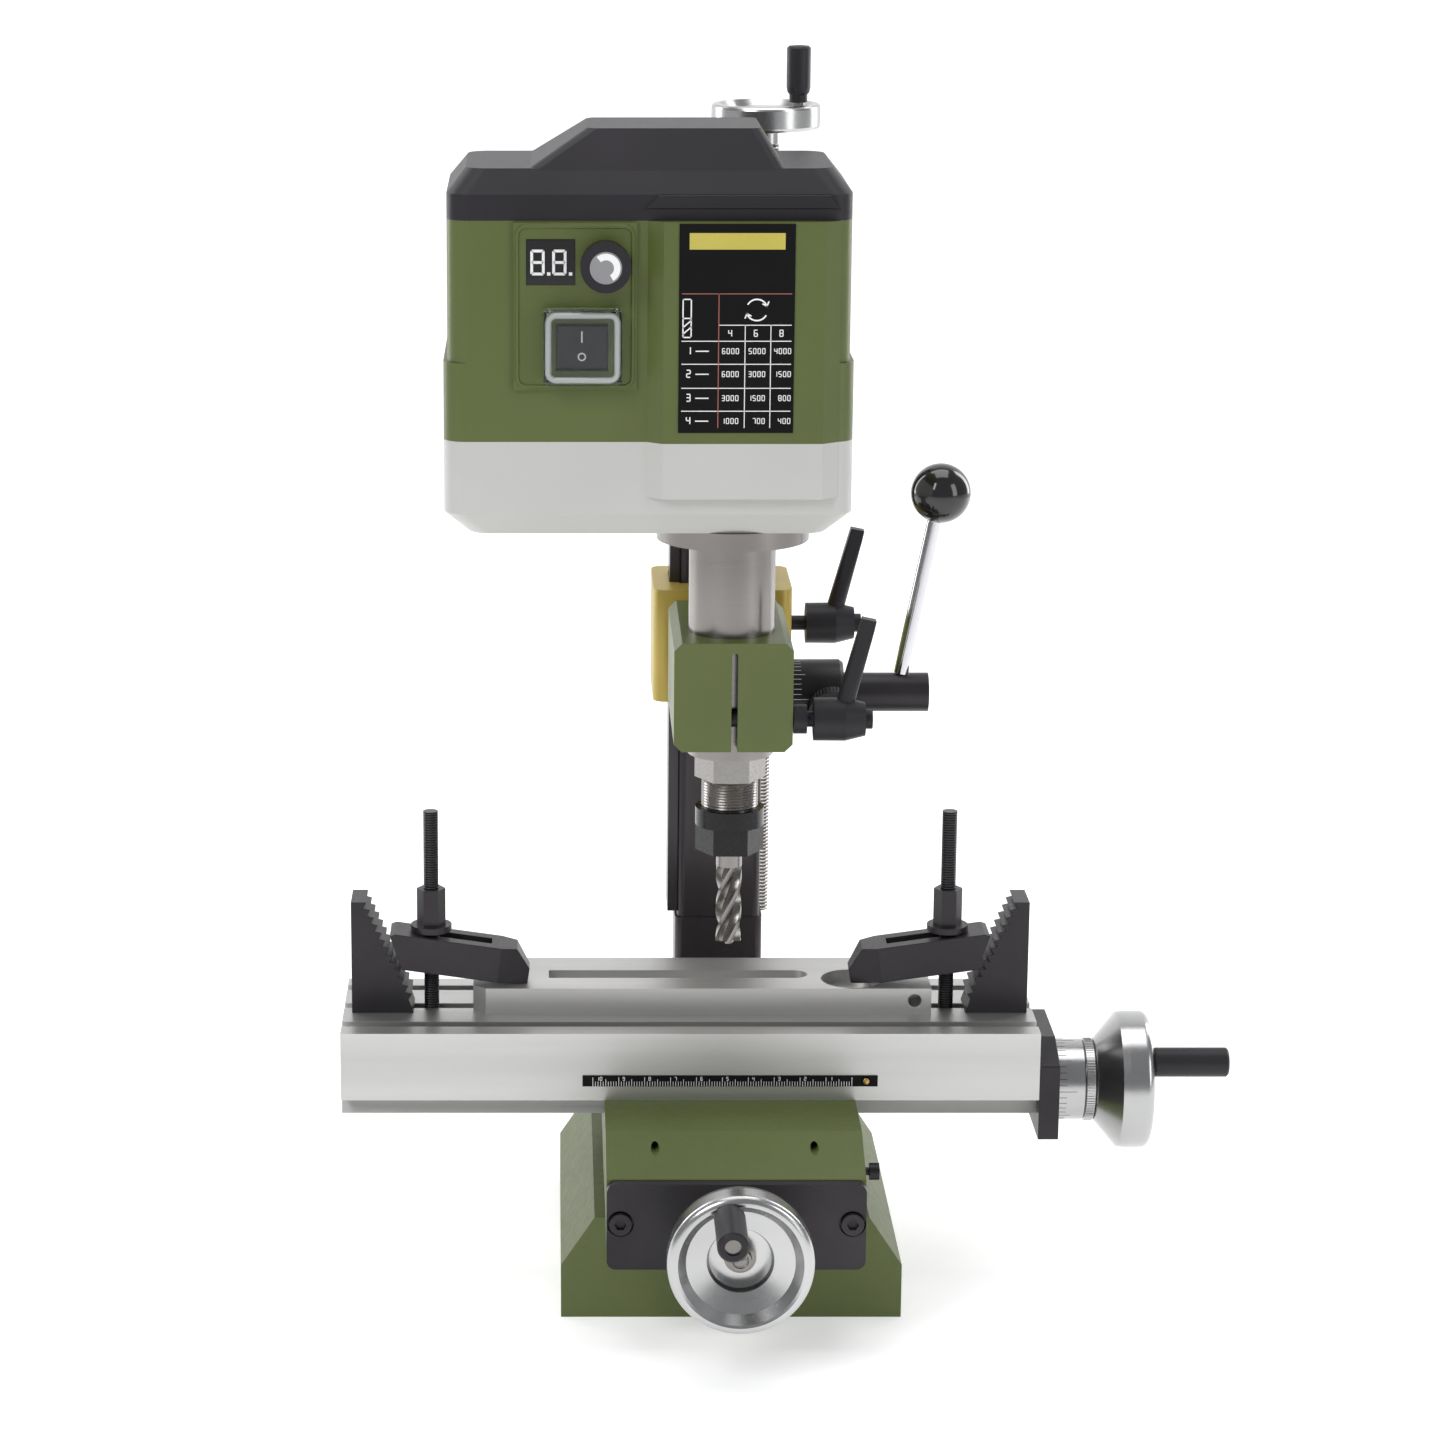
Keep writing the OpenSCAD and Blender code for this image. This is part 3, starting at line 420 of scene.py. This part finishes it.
def label_print():
    """Generic speed table on the black label: blank name bar, tool outline, arrows, numbers."""
    low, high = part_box("rating_plate")
    x0, x1 = low.x / MM, high.x / MM
    y = low.y / MM - 0.02
    white, red, yellow = bmesh.new(), bmesh.new(), bmesh.new()
    bar(yellow, (-15.7, 411.6), (13.2, 411.6), 6.0, y)
    row_z = [380.9, 375.0, 366.5, 357.6, 349.1]
    column_x = [-7.8, 1.9, 11.3]
    bar(red, (x0 + 1.2, 392.4), (x1 - 1.2, 392.4), 0.35, y)
    bar(red, (column_x[0], 392.4), (column_x[0], 343.0), 0.35, y)
    bar(white, (column_x[0], row_z[0]), (x1 - 1.2, row_z[0]), 0.3, y)
    for z in row_z[1:]:
        bar(white, (x0 + 1.2, z), (x1 - 1.2, z), 0.3, y)
    for x in column_x[1:]:
        bar(white, (x, row_z[0]), (x, 343.0), 0.3, y)
    for x, number in zip((-4.2, 5.2, 14.6), ("4", "6", "8")):
        digits(white, number, x, 376.8, 2.3, y, 0.34)
    rows = [("6000", "5000", "4000"), ("6000", "3000", "1500"), ("3000", "1500", "800"),
            ("1000", "700", "400")]
    for i, numbers in enumerate(rows):
        z = row_z[i + 1] - 4.6
        digits(white, str(i + 1), -19.4, z - 0.2, 2.6, y, 0.4)
        bar(white, (-16.0, z + 0.9), (-11.5, z + 0.9), 0.4, y)
        for x, number in zip(column_x, numbers):
            digits(white, number, x + 8.3 - 1.72 * len(number), z, 1.9, y, 0.28)
    # outline of an end mill
    for a, b in [((-20.9, 390.4), (-17.9, 390.4)), ((-20.9, 390.4), (-20.9, 376.4)),
                 ((-17.9, 390.4), (-17.9, 376.4)), ((-20.9, 376.4), (-17.9, 376.4)),
                 ((-20.9, 383.4), (-17.9, 383.4)), ((-20.9, 380.0), (-17.9, 382.6)),
                 ((-20.9, 377.6), (-17.9, 380.2))]:
        bar(white, a, b, 0.45, y)
    # two turning arrows round a point
    for turn in (0, 180):
        arc_line(white, (6.1, 386.5), 3.9, 20 + turn, 150 + turn, 0.55, y)
        tip = math.radians(20 + turn)
        spot = Vector((6.1 + 3.9 * math.cos(tip), 386.5 + 3.9 * math.sin(tip)))
        out = Vector((math.cos(tip), math.sin(tip)))
        side = Vector((-out.y, out.x))
        for way in (-1, 1):
            bar(white, spot, spot + side * 1.3 + out * 1.1 * way, 0.5, y)
    piece("label_print", white, "white", "motor_head")
    piece("label_print_red", red, "red", "motor_head")
    piece("label_name_bar", yellow, "yellow", "motor_head")


def panel_display():
    """Dark glass with two white digits."""
    low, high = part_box("control_panel")
    y = low.y / MM - 0.02
    bm = bmesh.new()
    slab(bm, (-0.0782, (y - 0.35) * MM, 0.3952), (-0.0604, (y + 0.3) * MM, 0.4119))
    bmesh.ops.bevel(bm, geom=bm.edges, offset=0.0003, segments=2, affect="EDGES")
    piece("display_glass", bm, "gloss", "motor_head")
    white = bmesh.new()
    digits(white, "8.8.", -76.2, 399.3, 8.4, y - 0.38, 1.0)
    piece("panel_print", white, "white", "motor_head")


def rounded_frame(bm, low, high, radius, wall, y0, y1):
    """Frame in the X-Z plane with round corners, from y0 back to y1, in millimetres."""
    loops = []
    for inset, y in ((0, y1), (wall * 0.3, y0), (wall * 0.7, y0), (wall, y1)):
        loop = []
        for i, (x, z) in enumerate(((high[0], high[1]), (low[0], high[1]), (low[0], low[1]),
                                    (high[0], low[1]))):
            turn_x = x - math.copysign(radius, x - (low[0] + high[0]) / 2)
            turn_z = z - math.copysign(radius, z - (low[1] + high[1]) / 2)
            for k in range(7):
                a = math.pi / 2 * (i + k / 6)
                r = max(radius - inset, 0.05)
                loop.append(bm.verts.new(((turn_x + r * math.cos(a)) * MM, y * MM,
                                          (turn_z + r * math.sin(a)) * MM)))
        loops.append(loop)
    for n, loop in enumerate(loops):
        after = loops[(n + 1) % len(loops)]
        for k in range(len(loop)):
            m = (k + 1) % len(loop)
            bm.faces.new((loop[k], loop[m], after[m], after[k]))


def splash_rim_highlight():
    """Soft pale rim on the front of the splash cover: it follows the cover's frame, and its pale colour
    is painted highlight along the cover's edges.
    """
    low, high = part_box("switch_boot")
    y = low.y / MM
    bm = bmesh.new()
    rounded_frame(bm, (low.x / MM + 0.6, low.z / MM + 0.6), (high.x / MM - 0.6, high.z / MM - 0.6),
                  4.0, 2.4, y - 0.5, y + 0.3)
    # pale frame whose colour is painted highlight on the splash cover's edges
    piece("splash_rim_highlight", bm, "rim", "motor_head")


def panel_border():
    """Raised rounded border of the control panel."""
    low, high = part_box("control_panel")
    y = low.y / MM
    bm = bmesh.new()
    rounded_frame(bm, (low.x / MM + 0.3, low.z / MM + 0.3), (high.x / MM - 0.3, high.z / MM - 0.3),
                  4.5, 2.2, y - 0.6, y + 0.4)
    piece("panel_border", bm, "paint", "motor_head")


def knob_face():
    """Grey disc and a pale thick arc on the speed knob."""
    low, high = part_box("speed_knob")
    y = low.y / MM
    centre = (low + high) / 2
    place = axis_place((centre.x, 0, centre.z), "y")
    bm = bmesh.new()
    lathe(bm, [(0.0001, -(y + 0.4) * MM), (0.0001, (0.15 - y) * MM), (0.0058, (0.15 - y) * MM),
               (0.0062, -(y + 0.4) * MM)], place, 64)
    piece("knob_disc", bm, "knob_disc", "speed_control")
    white = bmesh.new()
    spot = (centre.x / MM, centre.z / MM)
    arc_line(white, spot, 4.1, -60, 130, 2.4, y - 0.2, 30)
    piece("knob_mark", white, "white", "speed_control")


def switch_marks():
    """On and off marks of the rocker, on its tilted front."""
    low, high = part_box("rocker")
    x = (low.x + high.x) / 2 / MM
    bm = bmesh.new()
    tilt = math.atan2(1.4, 16.0)
    for z in (369.0, 376.4):
        y = low.y / MM + (380.6 - z) * math.tan(tilt)
        if z < 372:
            arc_line(bm, (x, z), 1.3, 0, 360, 0.5, y - 0.5, 20)
        else:
            bar(bm, (x, z - 1.8), (x, z + 1.8), 0.55, y - 0.2)
    piece("switch_marks", bm, "white", "power_switch")


# ---------- dials and small marks ----------

def cover_relief():
    """Shallow raised trapezoid on the right of the top cover's front."""
    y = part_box("top_cover")[0].y
    outline = [(-36, 422.6), (37, 422.6), (33, 428.2), (-30, 428.2)]
    bm = bmesh.new()
    ends = [[bm.verts.new((x * MM, y + d, z * MM)) for x, z in outline]
            for d in (0.0008, -0.0007)]
    bm.faces.new(ends[0])
    front = bm.faces.new(ends[1][::-1])
    for k in range(4):
        n = (k + 1) % 4
        bm.faces.new((ends[0][k], ends[0][n], ends[1][n], ends[1][k]))
    bmesh.ops.bevel(bm, geom=list(front.edges), offset=0.0006, segments=3, affect="EDGES")
    piece("cover_relief", bm, "black", "motor_head")


def scale_rivet():
    """Domed brass rivet at the right end of the table's scale."""
    low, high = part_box("scale_strip")
    place = axis_place((0.0525, low.y, (low.z + high.z) / 2), "y")
    bm = bmesh.new()
    dome = [(1.3 * math.cos(a), 0.55 * math.sin(a))
            for a in [math.pi / 2 * i / 6 for i in range(7)]]
    outline = [(r * MM + 1e-6, h * MM) for r, h in dome]
    lathe(bm, outline + [(1e-6, -0.0001), (0.0013, -0.0001)], place, 24)
    piece("scale_rivet", bm, "bronze", "table_slide")


def dial_lines(name, body, look, place, radius, start, end, count):
    """Fine lines round a dial ring, each tenth one longer."""
    bm = bmesh.new()
    for i in range(count):
        turn = Matrix.Rotation(2 * math.pi * i / count, 4, "Z")
        stop = end if i % 10 == 0 else start + (end - start) * (0.75 if i % 5 == 0 else 0.5)
        low = ((radius - 0.1) * MM, -0.1 * MM, start * MM)
        high = ((radius + 0.04) * MM, 0.1 * MM, stop * MM)
        middle = (Vector(low) + Vector(high)) / 2
        size = [abs(b - a) for a, b in zip(low, high)]
        spot = Matrix.Translation(middle) @ Matrix.Diagonal((*size, 1))
        bmesh.ops.create_cube(bm, size=1, matrix=place @ turn @ spot)
    piece(name, bm, look, body)


# ---------- the details ----------

Y_WHEEL = axis_place((0, -0.1107, 0.05), "y")
X_WHEEL = axis_place((0.1275, -0.0115, 0.0745), "x")
FEED_AXIS = axis_place((0.0242, 0.0078, 0.2272), "x")
THUMB_SCREW = (Matrix.Translation((0.040, 0.0078, 0.2272))
               @ Matrix.Rotation(math.radians(105), 4, "X"))

collet_thread()
knurl("y_dial_knurl", "y_dial_ring", "alu", Y_WHEEL, 16.2, 13.5, 16.5, 90)
knurl("x_dial_knurl", "x_dial_ring", "alu", X_WHEEL, 16.2, 13.5, 16.5, 90)
knurl("thumb_screw_knurl", "feed_index", "steel_black", THUMB_SCREW, 9.6, 13.6, 17.8, 48, 0.4)
dial_lines("y_dial_lines", "y_dial_ring", "steel_black", Y_WHEEL, 15.9, 1.5, 9.5, 40)
dial_lines("x_dial_lines", "x_dial_ring", "steel_black", X_WHEEL, 15.9, 1.5, 9.5, 40)
dial_lines("feed_dial_lines", "feed_index", "white", FEED_AXIS, 12.8, 0.8, 6.8, 40)
cover_relief()
scale_rivet()
table_scale()
label_print()
panel_display()
splash_rim_highlight()
panel_border()
knob_face()
switch_marks()
# ---------- stage, light and camera ----------

def floor():
    """Pale floor that curves up into a backdrop."""
    bm = bmesh.new()
    profile = [(-3.0, 0.0), (0.9, 0.0)]
    profile += [(0.9 + 1.2 * math.sin(a), 1.2 - 1.2 * math.cos(a))
                for a in [math.pi / 2 * i / 12 for i in range(1, 13)]]
    profile.append((2.1, 3.5))
    sides = [[bm.verts.new((x, y, z)) for y, z in profile] for x in (-4.0, 4.0)]
    for k in range(len(profile) - 1):
        bm.faces.new((sides[0][k], sides[1][k], sides[1][k + 1], sides[0][k + 1]))
    mesh = bpy.data.meshes.new("floor")
    bm.to_mesh(mesh)
    bm.free()
    mesh.polygons.foreach_set("use_smooth", [True] * len(mesh.polygons))
    obj = bpy.data.objects.new("floor", mesh)
    bpy.context.scene.collection.objects.link(obj)
    mat = surface("pale_floor", (0.86, 0.86, 0.86), (0.90, 0.90, 0.90), (0.6, 0.8), grain=80,
                  relief=0.02, blotch=2)
    shader = mat.node_tree.nodes["Principled BSDF"]
    shader.inputs["Emission Color"].default_value = (1, 1, 1, 1)
    shader.inputs["Emission Strength"].default_value = 0.42
    mesh.materials.append(mat)


def softbox(name, place, target, size, watts):
    """Rectangular light at place, turned to target."""
    data = bpy.data.lights.new(name, "AREA")
    data.shape = "RECTANGLE"
    data.size, data.size_y = size
    data.energy = watts
    obj = bpy.data.objects.new(name, data)
    obj.location = place
    obj.rotation_euler = (Vector(target) - Vector(place)).to_track_quat("-Z", "Y").to_euler()
    bpy.context.scene.collection.objects.link(obj)


def camera():
    """Camera at the photograph's angle."""
    data = bpy.data.cameras.new("camera")
    data.lens = 100
    data.sensor_width = 36
    data.shift_x = 0.118
    data.dof.use_dof = False
    data.clip_end = 50
    obj = bpy.data.objects.new("camera", data)
    obj.location = (-0.0695, -1.5117, 0.5947)
    obj.rotation_euler = (math.radians(76), 0, 0)
    bpy.context.scene.collection.objects.link(obj)
    bpy.context.scene.camera = obj


floor()
softbox("key", (-1.1, -1.3, 1.5), (0, 0, 0.25), (0.7, 0.9), 15)
softbox("fill", (1.3, -1.0, 0.8), (0, 0, 0.25), (0.5, 1.2), 6)
softbox("top", (0, 0.1, 1.7), (0, 0, 0.2), (1.2, 1.0), 10)
softbox("rim_left", (-1.0, 0.7, 0.7), (0, 0, 0.25), (0.35, 1.2), 6)
softbox("rim_right", (1.0, 0.7, 0.7), (0, 0, 0.25), (0.35, 1.2), 6)
world = bpy.data.worlds.new("studio")
world.use_nodes = True
world.node_tree.nodes["Background"].inputs["Color"].default_value = (0.95, 0.97, 1.0, 1)
world.node_tree.nodes["Background"].inputs["Strength"].default_value = 0.30
bpy.context.scene.world = world
bpy.context.scene.view_settings.view_transform = "Standard"
camera()
